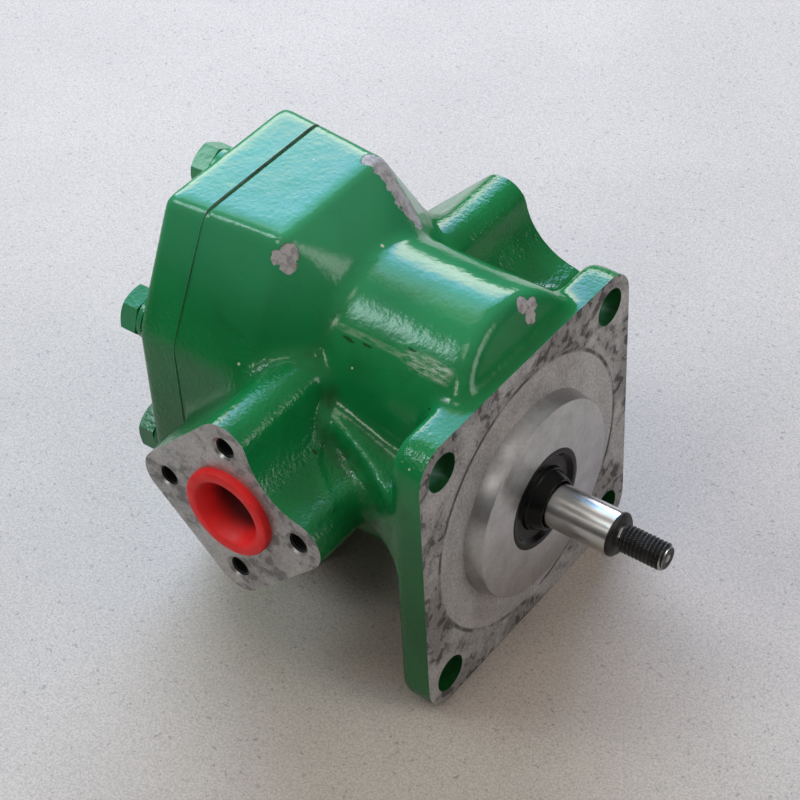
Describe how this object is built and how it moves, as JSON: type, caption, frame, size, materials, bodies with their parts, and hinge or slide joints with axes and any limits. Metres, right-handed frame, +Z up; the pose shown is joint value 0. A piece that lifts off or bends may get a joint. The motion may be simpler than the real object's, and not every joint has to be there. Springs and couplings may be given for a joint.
{
  "type": "hydraulic gear pump",
  "caption": "Cast hydraulic gear pump with a square mounting flange, round pilot, side ports, eight-sided rear box and a drive shaft that ends in a threaded stud.",
  "frame": {"origin": "centre of the mounting face, on the drive shaft's axis", "axes": "+X out along the drive shaft, -Y to the plugged inlet port, +Z up to the driven gear"},
  "size_m": [0.1885, 0.159, 0.153],
  "materials": {
    "green_paint": "gloss green enamel over a grey casting, chipped on edges, bare on machined faces",
    "ground_steel": "ground, with a blackened stud",
    "hard_steel": "machined",
    "bearing_alloy": "machined",
    "bronze": "machined",
    "black_rubber": "matte",
    "red_plastic": "satin"
  },
  "bodies": {
    "housing": {"pump_body": "green_paint", "rear_cover": "green_paint", "cover_bolts": "green_paint", "cover_washers": "green_paint", "dowel_pins": "hard_steel", "cover_seal": "black_rubber", "front_bearing_block": "bearing_alloy", "rear_bearing_block": "bearing_alloy", "drive_front_bush": "bronze", "drive_rear_bush": "bronze", "driven_front_bush": "bronze", "driven_rear_bush": "bronze", "front_wear_plate": "bronze", "rear_wear_plate": "bronze", "front_block_seals": "black_rubber", "rear_block_seals": "black_rubber", "shaft_seal": "black_rubber", "seal_case": "hard_steel", "garter_spring": "hard_steel"},
    "drive_rotor": {"drive_shaft": "ground_steel", "drive_gear": "hard_steel", "drive_gear_key": "hard_steel"},
    "driven_rotor": {"driven_shaft": "ground_steel", "driven_gear": "hard_steel"},
    "port_plug": {"inlet_plug": "red_plastic"}
  },
  "joints": [
    {"name": "drive_spin", "type": "hinge", "parent": "housing", "child": "drive_rotor", "pos_m": [0, 0, 0], "axis": [1, 0, 0], "continuous": true},
    {"name": "driven_spin", "type": "hinge", "parent": "housing", "child": "driven_rotor", "pos_m": [0, 0, 0.039], "axis": [1, 0, 0], "continuous": true},
    {"name": "plug_pull", "type": "slide", "parent": "housing", "child": "port_plug", "axis": [0, -1, 0], "range_m": [0, 0.03]}
  ],
  "couplings": [
    {"joint": "driven_spin", "follows": "drive_spin", "ratio": -1}
  ]
}
